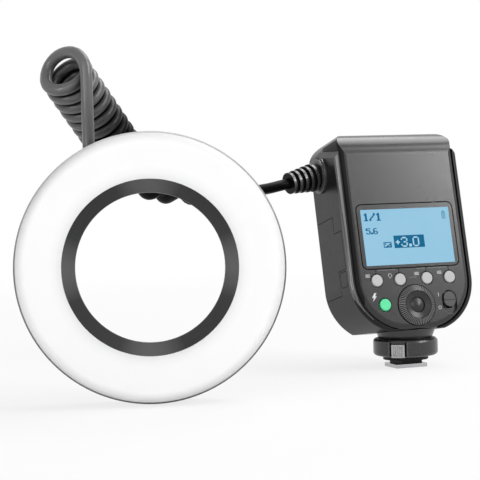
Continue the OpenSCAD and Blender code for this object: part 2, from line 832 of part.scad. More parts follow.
module ring_boot() color(black) on_ring()
    translate([outlet_x, cord_exit_y, outlet_top])
        boot(outlet_d / 2 - 0.2, cord_d / 2 + boot_core_r, 0, ring_boot_len, 4, 0);

module cord_tail() color(black) on_ring() tube(tail_points, cord_d / 2, cord_sides);

module cord_coil() color(black) on_ring() tube(coil_points, cord_d / 2, curl_sides);

module cord_lead() color(black) tube(lead_points, cord_d / 2, cord_sides);

// Controller housing

module controller_boot() color(black) {
    on_body() translate([-cover_hw, boot_y, boot_z]) rotate([0, -90, 0]) {
        cylinder(r = boot_flange_r, h = boot_step_t);
        cylinder(r = boot_flange_r - 0.8, h = boot_flange_t);
        translate([0, 0, -cover_t - body_wall - 1])
            cylinder(r = boot_plug_r, h = cover_t + body_wall + 2);
    }
    translate(boot_base_row) rotate([0, -90 - boot_droop, boot_yaw])
        boot(boot_base_r, boot_end_r, boot_start, boot_len, boot_ribs, 1);
}

module button_hole(x, z) {
    translate([x, panel_y - 1, z]) along_y() cylinder(r = button_d / 2 + button_gap, h = body_wall + 2);
}

module rear_shell() color(dark) on_body() difference() {
    intersection() {
        difference() {
            core_form(0);
            core_form(body_wall);
        }
        translate([-body_hw, panel_y, body_bottom - 1])
            cube([2 * body_hw, part_y - panel_y, body_top - body_bottom + 2]);
    }
    translate([0, 0, lcd_z]) {
        panel_cut(panel_y - 1, panel_y + lcd_glass_t)
            rounded(lcd_w + 2 * seat_gap, lcd_h + 2 * seat_gap, lcd_corner);
        panel_cut(panel_y - 1, inner_y + 1)
            rounded(lcd_w - 2 * lcd_margin, lcd_h - 2 * lcd_margin, lcd_corner / 2);
    }
    for (x = button_xs) button_hole(x, button_z);
    button_hole(test_x, test_z);
    translate([0, panel_y - 1, dial_z]) along_y() {
        cylinder(r = dial_r + slide_gap, h = dial_well + 1);
        cylinder(r = dial_hub_r + turn_gap, h = body_wall + 2);
    }
    translate([power_x, 0, power_z]) {
        panel_cut(panel_y - 1, panel_y + power_well)
            stadium(power_w, power_knob_h + switch_travel + 2 * power_gap);
        panel_cut(panel_y - 1, inner_y + 1)
            square([
                power_stem_w + 2 * slide_gap, power_stem_h + switch_travel + 2 * slide_gap
            ], center = true);
    }
    side_cut(-body_hw - 1, -body_hw + body_wall + 1)
        translate([bay_y0, bay_z0]) square([bay_t, bay_h]);
    side_cut(-body_hw - 1, -body_hw + body_wall + 1) battery_latch_shape(slide_gap);
    boot_hole();
    side_cut(body_hw - body_wall - 1, body_hw + 1) translate([port_y, port_z])
        square([usb_h + 2 * seat_gap, usb_w + 2 * seat_gap], center = true);
}

module front_shell() color(dark) on_body() difference() {
    intersection() {
        difference() {
            core_form(0);
            core_form(body_wall);
        }
        translate([-body_hw, part_y, body_bottom - 1])
            cube([2 * body_hw, front_y - part_y, body_top - body_bottom + 2]);
    }
    translate([0, 0, window_z]) panel_cut(front_y - window_t, front_y + 1)
        rounded(window_w + 2 * seat_gap, window_h + 2 * seat_gap, 4);
    side_cut(-body_hw - 1, -body_hw + body_wall + 1)
        translate([bay_y0, bay_z0]) square([bay_t, bay_h]);
    boot_hole();
}

// A band over the core's side and lower corner
module side_cover(s) {
    difference() {
        intersection() {
            cover_form();
            side_cut(s > 0 ? cover_in_x : -cover_hw - 1, s > 0 ? cover_hw + 1 : -cover_in_x) cover_side();
        }
        panel_cut(cover_y0 - 1, cover_y1 + 1) core_outline();
        cover_top_bevel(s);
    }
}

module side_cover_left() color(black) on_body() difference() {
    side_cover(-1);
    side_cut(-cover_hw - 1, 0) battery_face_shape(slide_gap);
    side_cut(-cover_hw - 1, 0) battery_latch_shape(slide_gap);
    boot_hole();
}

module side_cover_right() color(black) on_body() difference() {
    side_cover(1);
    side_cut(0, cover_hw + 1) translate([port_y, port_z])
        square([port_w + 2 * slide_gap, port_h + 2 * slide_gap], center = true);
    port_axis(port_w / 2 + slide_gap + port_pin_l + 0.2, port_pin_r + turn_gap);
}

// A round bar along the flap's hinge, to a reach on both sides of its middle
module port_axis(reach, r) {
    translate([cover_hw - 0.1 - port_barrel_r, port_y - reach, port_z + port_h / 2 - port_barrel_r])
        along_y() cylinder(r = r, h = 2 * reach, $fn = 48);
}

module lcd_window() color([0.55, 0.75, 0.85]) on_body() translate([0, 0, lcd_z])
    panel_cut(panel_y, panel_y + lcd_glass_t) rounded(lcd_w, lcd_h, lcd_corner);

module lcd_module() color([0.45, 0.7, 0.85]) on_body() translate([0, 0, lcd_z]) {
    panel_cut(inner_y, main_board_y) rounded(lcd_w, lcd_h, 1);
    inset = 2 * (lcd_margin + seat_gap);
    panel_cut(panel_y + lcd_glass_t, inner_y + 1)
        rounded(lcd_w - inset, lcd_h - inset, lcd_corner / 2);
}

module main_board() color(board_green) on_body() intersection() {
    core_form(body_wall + 0.8);
    translate([-body_hw, main_board_y, body_bottom])
        cube([2 * body_hw - 6, main_board_t, main_board_top - body_bottom]);
    translate([-body_hw + 6, main_board_y, body_bottom])
        cube([2 * body_hw - 6, main_board_t, main_board_top - body_bottom]);
}

module tact_switch(x, z) {
    translate([x - 2, main_board_y - switch_body_h, z - 2]) cube([4, switch_body_h, 4]);
    translate([x, switch_tip_y, z]) along_y() cylinder(r = 1, h = switch_tip_h + 0.5);
}

module board_switches() color(grey) on_body() {
    for (x = button_xs) tact_switch(x, button_z);
    tact_switch(test_x, test_z);
    tact_switch(0, dial_z);
    translate([power_x, 0, power_z]) panel_cut(main_board_y - slide_switch_d, main_board_y)
        square([slide_switch_w, slide_switch_h], center = true);
}

module dial_encoder() color(dark) on_body() translate([0, 0, dial_z])
    panel_cut(main_board_y - encoder_h, main_board_y) difference() {
        rounded(encoder_w, encoder_w, 1.5);
        circle(encoder_bore_r);
    }

module flash_capacitor() color([0.2, 0.2, 0.25]) on_body()
    translate([-capacitor_l / 2, capacitor_y, capacitor_z]) rotate([0, 90, 0]) {
        cylinder(r = capacitor_r, h = capacitor_l);
        for (s = [-1, 1]) translate([0, s * 5, capacitor_l - 0.5]) cylinder(r = 0.6, h = 4);
    }

module battery_bay() color(black) on_body() {
    difference() {
        intersection() {
            core_form(body_wall);
            translate([-body_hw, bay_y0 - bay_wall, bay_z0 - bay_wall])
                cube([bay_end_x + bay_wall + body_hw, bay_t + 2 * bay_wall, bay_h + 2 * bay_wall]);
        }
        translate([-body_hw - 1, bay_y0, bay_z0]) cube([bay_end_x + body_hw + 1, bay_t, bay_h]);
    }
    for (s = [-1, 1])
        side_cut(s * cradle_x - cradle_t / 2, s * cradle_x + cradle_t / 2) difference() {
            translate([capacitor_y - capacitor_r * 0.75, bay_top - 0.2])
                square([capacitor_r * 1.5, capacitor_lift + capacitor_r * 0.4]);
            translate([capacitor_y, capacitor_z]) circle(capacitor_r + seat_gap);
        }
}

module battery_contacts() color(gold) on_body()
    for (i = [0 : 3])
        translate([bay_end_x, battery_y + 5 + i * 4.5, battery_z + battery_h / 2]) rotate([0, -90, 0])
            linear_extrude(bay_end_x - battery_end_x - slide_gap) rounded(8, 2, 0.6);

module front_window() color([0.25, 0.03, 0.04]) on_body() translate([0, 0, window_z])
    panel_cut(front_y - window_t, front_y) rounded(window_w, window_h, 4);

// A socket whose flange lies against the wall's inner face
module usb_socket() color(metal) on_body()
    translate([0, port_y, port_z]) difference() {
        union() {
            side_cut(usb_face_x - usb_l, usb_face_x) stadium(usb_h, usb_w);
            side_cut(body_hw - body_wall - 1, body_hw - body_wall)
                stadium(usb_h + 2 * usb_flange, usb_w + 2 * usb_flange);
        }
        side_cut(body_hw - usb_l + 0.8, body_hw)
            stadium(usb_h - 2 * usb_wall, usb_w - 2 * usb_wall);
    }

// A flap that hangs on a barrel along its upper edge
module port_cover() color(black) on_body() {
    translate([cover_hw - 0.1 - port_t, port_y - port_w / 2, port_z - port_h / 2]) {
        cube([port_t, port_w, port_h - port_barrel_r]);
        translate([-0.5, 1, 1]) cube([1, port_w - 2, port_h - 4]);
    }
    port_axis(port_w / 2, port_barrel_r);
    port_axis(port_w / 2 + slide_gap + port_pin_l, port_pin_r);
}

// Neck, collar and foot

module pin_bore(z0, z1) {
    translate([0, pin_y, z0]) cylinder(r = pin_r + turn_gap, h = z1 - z0, $fn = 48);
}

module foot_screw_bores(z0, z1) {
    for (p = foot_screw_places) translate([p[0], p[1], z0])
        cylinder(r = foot_screw_r + seat_gap, h = z1 - z0, $fn = 48);
}

module neck() color(black) difference() {
    union() {
        translate([0, 0, neck_z0]) cylinder(r1 = neck_r0, r2 = neck_top_r, h = neck_z1 - neck_z0);
        translate([0, 0, base_top]) cylinder(r = spigot_r, h = neck_z0 - base_top + 1);
    }
    on_body() translate([-2 * collar_r, panel_y, body_bottom]) rotate([underside_lean, 0, 0])
        translate([0, -collar_r, 0]) cube([4 * collar_r, 4 * collar_r, 2 * collar_r]);
    pin_bore(base_top - 1, pin_top + 0.3);
    foot_screw_bores(base_top - 1, foot_screw_recess + foot_screw_len + 0.5);
}

module foot_base() color(dark) difference() {
    union() {
        translate([-pedestal_w / 2, -foot_l / 2 + 0.6, foot_t])
            cube([pedestal_w, foot_l - 1.2, pedestal_h]);
        translate([0, 0, foot_t + pedestal_h]) cylinder(r = disc_r, h = foot_base_h - pedestal_h);
    }
    pin_bore(foot_t - 1, base_top + 1);
    foot_screw_bores(foot_t - 1, base_top + 1);
}

module hot_shoe_foot() color(metal) difference() {
    linear_extrude(foot_t) rounded(foot_w, foot_l, 1);
    pin_bore(-1, foot_t + 1);
    foot_screw_bores(-1, foot_t + 1);
    for (p = foot_screw_places) translate([p[0], p[1], -1])
        cylinder(r = foot_screw_head_r + seat_gap, h = foot_screw_recess + foot_screw_head_h + 1, $fn = 48);
    for (p = contact_places) translate([p[0], p[1], -1])
        cylinder(r = contact_r + seat_gap, h = contact_recess + contact_depth + 1, $fn = 48);
    translate([0, 0, -1])
        cylinder(r = centre_contact_r + seat_gap, h = contact_recess + contact_depth + 1, $fn = 48);
}

module shoe_contacts() color(gold) translate([0, 0, contact_recess]) {
    for (p = contact_places) translate([p[0], p[1], 0])
        cylinder(r = contact_r, h = contact_depth, $fn = 48);
    cylinder(r = centre_contact_r, h = contact_depth, $fn = 48);
}

module foot_screws() color(metal)
    for (p = foot_screw_places) translate([p[0], p[1], foot_screw_recess]) difference() {
        union() {
            cylinder(r = foot_screw_head_r, h = foot_screw_head_h, $fn = 48);
            cylinder(r = foot_screw_r, h = foot_screw_len, $fn = 48);
        }
        for (q = [0, 90]) rotate([0, 0, q]) translate([-1, -0.2, -0.1]) cube([2, 0.4, 0.6]);
    }

module lock_collar() color(black) difference() {
    translate([0, 0, collar_z])
        rotate_extrude($fn = 128) difference() {
            edge_profile(collar_r, 0, collar_h, collar_edge_r, collar_edge_r);
            translate([-collar_r, -1]) square([collar_r + spigot_r + turn_gap, collar_h + 2]);
        }
    rotate([0, 0, release_turn]) {
        translate([-release_w, -collar_r - 1, collar_z - 1])
            cube([2 * release_w, release_flat + 1, collar_h + 2]);
        translate([-release_w / 2 - slide_gap, -collar_r - 1, collar_z - 1])
            cube([release_w + 2 * slide_gap, collar_r + 1 - spigot_r - 0.4, release_h + 1 + slide_gap]);
    }
}

module lock_release_button() color(grey) rotate([0, 0, release_turn]) difference() {
    rib_step = (release_w - 2 * release_rim) / release_ribs;
    groove_z = collar_z + release_rim;
    translate([-release_w / 2, -collar_r, collar_z])
        cube([release_w, collar_r - release_r0, release_h]);
    for (i = [0 : release_ribs - 1])
        translate([release_rim - release_w / 2 + (i + 0.2) * rib_step, -collar_r - 0.1, groove_z])
            cube([0.6 * rib_step, release_rib_h + 0.1, release_h - 2 * release_rim]);
}

module lock_pin() color(metal) translate([0, pin_y, contact_recess])
    cylinder(r = pin_r, h = pin_top - contact_recess, $fn = 48);

// Controls

// A turned disc whose cone rises from the dial's edge to its dish, lowered by a depth outside the dish
module dial_turned(lower) {
    crest_y = panel_y - dial_proud;
    disc_y1 = panel_y + dial_well - dial_lift;
    rotate_extrude() polygon([
        [0, crest_y + dial_dish_deep], [dial_bore_r, crest_y + dial_dish_deep],
        [dial_dish_r, crest_y + lower], [dial_r, panel_y - dial_rim + lower], [dial_r, disc_y1],
        [0, disc_y1]
    ]);
}

module control_dial() color(black) on_body() translate([0, 0, dial_z]) along_y() difference() {
    union() {
        dial_turned(dial_rib_h);
        intersection() {
            dial_turned(0);
            translate([0, 0, panel_y - dial_proud - 1])
                linear_extrude(dial_proud + dial_well) dial_rib_shape();
        }
        translate([0, 0, panel_y]) cylinder(r = dial_hub_r, h = hub_end_y - panel_y);
        translate([0, 0, inner_y + seat_gap]) cylinder(r = dial_hub_r + 1.2, h = 0.8);
    }
    translate([0, 0, panel_y - dial_proud - 1]) cylinder(r = dial_bore_r, h = body_depth);
}

// Ribs that stand out from the dial's dish to its edge
module dial_rib_shape() {
    step = 360 / dial_ribs;
    tip = dial_r - 0.1;
    root = dial_dish_r - 0.4;
    one_rib = [[-0.25, tip], [0.25, tip], [0.3, root], [0.7, root]];
    polygon([
        for (i = [0 : dial_ribs - 1], c = one_rib)
            c[1] * [cos((i + c[0]) * step), sin((i + c[0]) * step)]
    ]);
}

module set_button() color(black) on_body() translate([0, 0, dial_z]) along_y() {
    dome_y = panel_y - dial_proud + set_drop;
    intersection() {
        translate([0, 0, dome_y]) cylinder(r = set_r, h = hub_end_y - dome_y + 0.2);
        union() {
            translate([0, 0, dome_y + set_dome_r]) sphere(set_dome_r, $fn = 96);
            translate([0, 0, dome_y + set_dome_r / 2]) cylinder(r = set_r, h = body_depth);
        }
    }
    translate([0, 0, hub_end_y + 0.1]) cylinder(r = set_flange_r, h = 0.6);
    translate([0, 0, hub_end_y]) cylinder(r = stem_r, h = stem_end_y - hub_end_y);
}

module round_button(x, z) on_body() translate([x, 0, z]) along_y() {
    translate([0, 0, panel_y - button_proud])
        rotate_extrude() edge_profile(button_d / 2, 0, body_wall + button_proud + 0.5, 0.4, 0.1);
    translate([0, 0, inner_y + seat_gap]) cylinder(r = button_d / 2 + button_flange, h = button_flange_t);
    translate([0, 0, inner_y]) cylinder(r = stem_r, h = stem_end_y - inner_y);
}

module function_button_1() color(grey) round_button(button_xs[0], button_z);
module function_button_2() color(grey) round_button(button_xs[1], button_z);
module function_button_3() color(grey) round_button(button_xs[2], button_z);
module function_button_4() color(grey) round_button(button_xs[3], button_z);
module test_button() color([0.3, 0.9, 0.65]) round_button(test_x, test_z);

module power_switch() color(black) on_body() translate([power_x, 0, power_z + switch_travel / 2]) {
    panel_cut(panel_y - power_proud, panel_y + power_well - 0.15)
        stadium(power_w - 2 * power_gap, power_knob_h);
    panel_cut(panel_y - power_proud - 0.5, panel_y)
        square([power_w - 2 * power_gap - 1, 0.7], center = true);
    panel_cut(panel_y, inner_y + 1.2) square([power_stem_w, power_stem_h], center = true);
    panel_cut(inner_y + seat_gap, inner_y + 1.2)
        square([power_stem_w + 2 * power_flange, power_stem_h + switch_travel + 1], center = true);
}

// Battery

module battery_pack() color(black) on_body() intersection() {
    union() {
        translate([battery_face_x, battery_y, battery_z])
            cube([battery_end_x - battery_face_x, battery_t, battery_h]);
        translate([battery_face_x, battery_tab_y, battery_tab_z])
            cube([cover_t - slide_gap, battery_y - battery_tab_y + 1, battery_tab_h]);
    }
    union() {
        cover_form();
        translate([-body_hw + body_wall, panel_y, body_bottom]) cube([2 * body_hw, body_depth, body_top]);
    }
}

module battery_latch() color(dark) on_body() {
    flange_x = -body_hw + body_wall + slide_gap;
    side_cut(-cover_hw, flange_x + battery_latch_flange_t) battery_latch_shape(0);
    side_cut(flange_x, flange_x + battery_latch_flange_t)
        translate([battery_latch_y + 1, battery_latch_z - battery_latch_flange])
            square([battery_latch_w - 2, battery_latch_h + 2 * battery_latch_flange]);
}

ring_rear_shell();
ring_diffuser();
ring_bezel();
ring_reflector();
flash_tube_left();
flash_tube_right();
tube_clips();
modelling_lamps();
ring_board();
trigger_transformer();
ring_screws();
adapter_latch_left();
adapter_latch_right();
latch_spring_left();
latch_spring_right();
cord_outlet();
ring_boot();
cord_tail();
cord_coil();
cord_lead();
controller_boot();
rear_shell();
front_shell();
side_cover_left();
side_cover_right();
lcd_window();
lcd_module();
main_board();
board_switches();
dial_encoder();
flash_capacitor();
battery_bay();
battery_contacts();
front_window();
usb_socket();
port_cover();
neck();
foot_base();
hot_shoe_foot();
shoe_contacts();
foot_screws();
lock_collar();
lock_release_button();
lock_pin();
control_dial();
set_button();
function_button_1();
function_button_2();
function_button_3();
function_button_4();
test_button();
power_switch();
battery_pack();
battery_latch();
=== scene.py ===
"""Looks of a macro ring flash: ring head, curly cord and shoe-mounted controller.

The scene is in metres in the part's own frame. Places of pieces are given in millimetres.
"""

import json
import math

import bmesh
import bpy
from mathutils import Matrix, Vector


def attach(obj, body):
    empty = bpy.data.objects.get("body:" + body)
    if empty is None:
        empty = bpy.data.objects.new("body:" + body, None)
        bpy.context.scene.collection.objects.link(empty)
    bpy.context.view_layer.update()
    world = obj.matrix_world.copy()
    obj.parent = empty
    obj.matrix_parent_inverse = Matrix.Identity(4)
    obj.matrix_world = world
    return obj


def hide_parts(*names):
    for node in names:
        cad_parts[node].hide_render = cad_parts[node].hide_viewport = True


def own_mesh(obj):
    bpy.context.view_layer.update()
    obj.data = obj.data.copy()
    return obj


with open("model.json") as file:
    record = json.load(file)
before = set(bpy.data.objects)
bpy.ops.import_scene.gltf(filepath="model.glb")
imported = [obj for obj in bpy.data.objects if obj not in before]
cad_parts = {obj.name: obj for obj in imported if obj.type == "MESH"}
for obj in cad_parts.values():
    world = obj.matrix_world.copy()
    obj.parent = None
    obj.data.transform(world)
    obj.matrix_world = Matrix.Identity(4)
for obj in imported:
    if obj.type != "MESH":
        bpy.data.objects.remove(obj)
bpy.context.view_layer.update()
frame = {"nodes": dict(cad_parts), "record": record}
NODES = frame["nodes"]
MM = 0.001

# Frames of the tilted controller body and of the leaning ring head
TILT = math.radians(13)
BODY = Matrix.Translation((0, 0, 0.020)) @ Matrix.Rotation(-TILT, 4, "X")
YAW = math.radians(17.1)
LEAN = math.radians(3.1)
RING_R, RING_LOW_Y = 64, 27
RING_AT = Vector((-168, -77, RING_R * math.cos(LEAN) + RING_LOW_Y * math.sin(LEAN)))
RING_TURN = Matrix.Rotation(-YAW, 3, "Z") @ Matrix.Rotation(-LEAN, 3, "X")
RING = Matrix.Translation(RING_AT * MM) @ RING_TURN.to_4x4()

# Controls and display on the panel, in the body
PANEL_Y = -17.8
DIAL_Z, DIAL_R, DISH_R = 10.7, 11.0, 7.7
CREST_Y, RIM_Y = PANEL_Y - 2.6, PANEL_Y - 0.4
BUTTON_XS = (-21.7, -8.0, 8.0, 21.7)
BUTTON_Z = 25.1
LCD_W, LCD_H, LCD_Z = 53.0, 30.7, 48.56
WINDOW_W, WINDOW_H, WINDOW_Z = 57.5, 35.1, 49.1
WINDOW_LOW = WINDOW_Z - WINDOW_H / 2

# Strain relief at the controller, in the row's frame
BOOT_AT = BODY @ (Vector((-36.8, 5.7, 89)) * MM) / MM
DROOP, TURN = math.radians(10.2), math.radians(11.7)
BOOT_DIR = Vector(
    (-math.cos(DROOP) * math.cos(TURN), -math.cos(DROOP) * math.sin(TURN), -math.sin(DROOP))
)
BOOT_LEN, BOOT_R0, BOOT_R1 = 21.5, 8.6, 5.9


# Colours and node trees


def lin(*rgb):
    """Linear colour of an 8-bit display colour."""
    out = []
    for c in rgb:
        c = c / 255
        out.append(c / 12.92 if c <= 0.04045 else ((c + 0.055) / 1.055) ** 2.4)
    return (*out, 1.0)


def grey(v):
    """Linear colour of an 8-bit grey."""
    return lin(v, v, v)


def shade(col, k):
    """A colour made brighter or darker by a factor."""
    return (min(col[0] * k, 1), min(col[1] * k, 1), min(col[2] * k, 1), 1.0)


class Tree:
    """Short calls for building a node tree."""

    def __init__(self, tree):
        self.tree = tree

    def put(self, socket, value):
        """Links an output to a socket, or sets the socket."""
        if isinstance(value, bpy.types.NodeSocket):
            self.tree.links.new(value, socket)
        else:
            socket.default_value = value

    def fill(self, node, inputs):
        """Inputs of a node by name, with underscores for spaces."""
        for key, value in inputs.items():
            self.put(node.inputs[key.replace("_", " ")], value)

    def add(self, kind, **inputs):
        n = self.tree.nodes.new("ShaderNode" + kind)
        self.fill(n, inputs)
        return n

    def calc(self, way, *values, kind="Math", out="Value"):
        """A calculation with one or two values."""
        n = self.add(kind)
        n.operation = way
        for socket, value in zip(n.inputs, values):
            self.put(socket, value)
        return n.outputs[out]

    def vector(self, way, *values, out="Vector"):
        """A calculation with one or two vectors."""
        return self.calc(way, *values, kind="VectorMath", out=out)

    def span(self, fac, low=0.0, high=1.0, start=0.0, stop=1.0):
        """A value carried from one range to another."""
        n = self.add("MapRange", Value=fac, From_Min=start, From_Max=stop, To_Min=low, To_Max=high)
        return n.outputs["Result"]

    def mixed(self, share, low, high, end):
        """Two shaders mixed by a share, as the tree's result."""
        mix = self.add("MixShader")
        for socket, value in zip(mix.inputs, (share, low.outputs[0], high.outputs[0])):
            self.put(socket, value)
        self.add(end, Surface=mix.outputs[0])


class Surface(Tree):
    """A new material, with patterns in the part's frame."""

    def __init__(self, name):
        self.mat = bpy.data.materials.new(name)
        self.mat.use_nodes = True
        super().__init__(self.mat.node_tree)
        self.shader = self.tree.nodes["Principled BSDF"]
        self.place = self.add("TexCoord").outputs["Object"]

    def look(self, **inputs):
        """Inputs of the material's shader. Returns the material."""
        self.fill(self.shader, inputs)
        return self.mat

    def noise(self, scale, detail):
        n = self.add("TexNoise", Vector=self.place, Scale=scale, Detail=detail, Roughness=0.55)
        return n.outputs["Fac"]

    def side(self, axis):
        """One coordinate of the place."""
        return self.add("SeparateXYZ", Vector=self.place).outputs[axis]

    def ramp(self, fac, *stops):
        n = self.add("ValToRGB", Fac=fac)
        elements = n.color_ramp.elements
        while len(elements) < len(stops):
            elements.new(0.5)
        for e, (pos, col) in zip(elements, stops):
            e.position = pos
            e.color = col
        return n.outputs["Color"]

    def soft_edges(self, radius):
        n = self.add("Bevel", Radius=radius)
        n.samples = 6
        return n.outputs["Normal"]

    def bump(self, height, strength, depth, edge=0.0):
        """A bumpy surface, with its edges softened to a radius."""
        n = self.add("Bump", Height=height, Strength=strength, Distance=depth)
        if edge:
            self.put(n.inputs["Normal"], self.soft_edges(edge))
        return n.outputs["Normal"]


# Materials. Noise scales are in waves a metre, depths and radii in metres.

MOTTLE, SMUDGE, FINE_GRAIN = 60, 220, 2600
# Reach of the cord's painted shade between its curls, and the span along X where its lead is painted
# darker
CURL_GAP = 0.007
COIL_END_X, LEAD_X = -0.175, -0.157
LENS_EDGE, DIFFUSER_EDGE = 0.041, 0.063
RING_MID_Z, RING_TOP_Z = 0.065, 0.125


def plastic(name, colour, rough, grain=1400, depth=0.00003, vary=0.12, edge=0.0003, coat=0.0, spec=0.5):
    """Moulded plastic: spark-eroded grain, faint mottling, softened edges."""
    m = Surface(name)
    return m.look(
        Base_Color=m.ramp(
            m.noise(MOTTLE, 4), (0.3, shade(colour, 1 - vary)), (0.7, shade(colour, 1 + vary))
        ),
        Roughness=m.span(m.noise(SMUDGE, 2), rough - 0.05, rough + 0.05),
        Specular_IOR_Level=spec,
        Coat_Weight=coat,
        Coat_Roughness=0.2,
        Normal=m.bump(m.noise(grain, 2), 0.35, depth, edge),
    )


def rubber(name, colour, lead, rough):
    """Cord jacket with painted shade: dark and dull between its curls, and darker along the lead."""
    m = Surface(name)
    # Painted shade: occlusion between the curls and the place along the cord darken its colour and sheen
    # towards the lead colour
    painted_crevice_shade = m.add("AmbientOcclusion", Distance=CURL_GAP)
    painted_crevice_shade.samples = 8
    painted_lead_shade = m.span(m.side("X"), 1.0, 0.0, COIL_END_X, LEAD_X)
    painted_shade = m.calc("MULTIPLY", painted_crevice_shade.outputs["AO"], painted_lead_shade)
    return m.look(
        Base_Color=m.ramp(painted_shade, (0.3, lead), (0.75, shade(colour, 0.5)), (1.0, colour)),
        Roughness=m.span(m.noise(160, 3), rough - 0.06, rough + 0.06),
        Specular_IOR_Level=m.span(painted_shade, 0.04, 0.5),
        Normal=m.bump(m.noise(FINE_GRAIN, 2), 0.3, 0.00004),
    )


def metal(name, colour, rough, brush=(40, 40, 2600)):
    """Metal with fine brushing along one way."""
    m = Surface(name)
    along = m.add("Mapping", Vector=m.place, Scale=brush).outputs["Vector"]
    streak = m.add("TexNoise", Vector=along, Scale=1.0, Detail=3.0).outputs["Fac"]
    return m.look(
        Base_Color=m.ramp(streak, (0.3, shade(colour, 0.9)), (0.7, shade(colour, 1.06))),
        Metallic=1.0,
        Roughness=m.span(streak, rough - 0.05, rough + 0.08),
        Normal=m.bump(streak, 0.12, 0.00002, 0.0002),
    )


def printed(name, colour):
    """Printed ink with slight wear."""
    m = Surface(name)
    worn = m.ramp(m.noise(900, 3), (0.25, shade(colour, 0.8)), (0.6, colour))
    return m.look(Base_Color=worn, Roughness=0.55)


def glowing(name, colour, low=None):
    """A backlit surface, dark by itself, with its light a little uneven across it."""
    m = Surface(name)
    return m.look(
        Base_Color=grey(10),
        Emission_Color=m.ramp(m.noise(30, 2), (0.3, low or shade(colour, 0.95)), (0.7, colour)),
        Emission_Strength=1.0,
        Specular_IOR_Level=0.0,
        Roughness=0.4,
    )


def glass(name, colour, ior=1.45):
    """Clear glass with faint smears."""
    m = Surface(name)
    smears = m.span(m.noise(40, 2), 0.02, 0.05)
    return m.look(Base_Color=colour, Transmission_Weight=1.0, IOR=ior, Roughness=smears)


def from_ring(m):
    """A point's place from the middle of the ring's front."""
    return m.vector("SUBTRACT", m.place, RING_AT * MM)


def diffuser():
    """Satin frosted acrylic with painted shade: a little greyer towards its inner and outer edges."""
    m = Surface("diffuser_acrylic")
    across = m.vector("CROSS_PRODUCT", from_ring(m), RING_TURN @ Vector((0, 1, 0)))
    radius = m.vector("LENGTH", across, out="Value")
    return m.look(
        Base_Color=m.ramp(
            m.span(radius, start=LENS_EDGE, stop=DIFFUSER_EDGE),
            (0.0, grey(232)), (0.14, grey(245)), (0.3, grey(250)),
            (0.8, grey(250)), (0.9, grey(238)), (1.0, grey(222)),
        ),
        Roughness=0.5,
        Specular_IOR_Level=0.3,
        Normal=m.bump(m.noise(1800, 2), 0.15, 0.00002),
    )


def bezel():
    """Satin cone with a painted sheen in its colour, which comes and goes four times around it."""
    m = Surface("bezel_plastic")
    arm = from_ring(m)
    right, up = [
        m.vector("DOT_PRODUCT", arm, RING_TURN @ Vector(way), out="Value")
        for way in ((1, 0, 0), (0, 0, 1))
    ]
    # Painted reflection: the colour turns paler at four places around the cone
    turns = m.calc("MULTIPLY", m.calc("ARCTAN2", up, right), 4.0)
    sheen = m.span(m.calc("COSINE", turns), start=-1.0)
    return m.look(
        Base_Color=m.ramp(sheen, (0.0, grey(34)), (0.5, grey(42)), (1.0, grey(96))),
        Roughness=m.span(m.noise(SMUDGE, 2), 0.3, 0.4),
        Specular_IOR_Level=0.03,
        Normal=m.bump(m.noise(FINE_GRAIN, 2), 0.3, 0.00002, 0.0003),
    )


def rim():
    """The ring shell's front rim, with painted light: paler towards its top."""
    m = Surface("ring_rim_highlights")
    height = m.span(m.side("Z"), start=RING_MID_Z, stop=RING_TOP_Z)
    return m.look(
        Base_Color=m.ramp(height, (0.0, grey(112)), (1.0, grey(205))),
        Roughness=m.span(m.noise(SMUDGE, 2), 0.35, 0.45),
        Specular_IOR_Level=0.4,
    )


# Grain of the smooth, polished mouldings
POLISHED = {"grain": FINE_GRAIN, "depth": 0.00001}

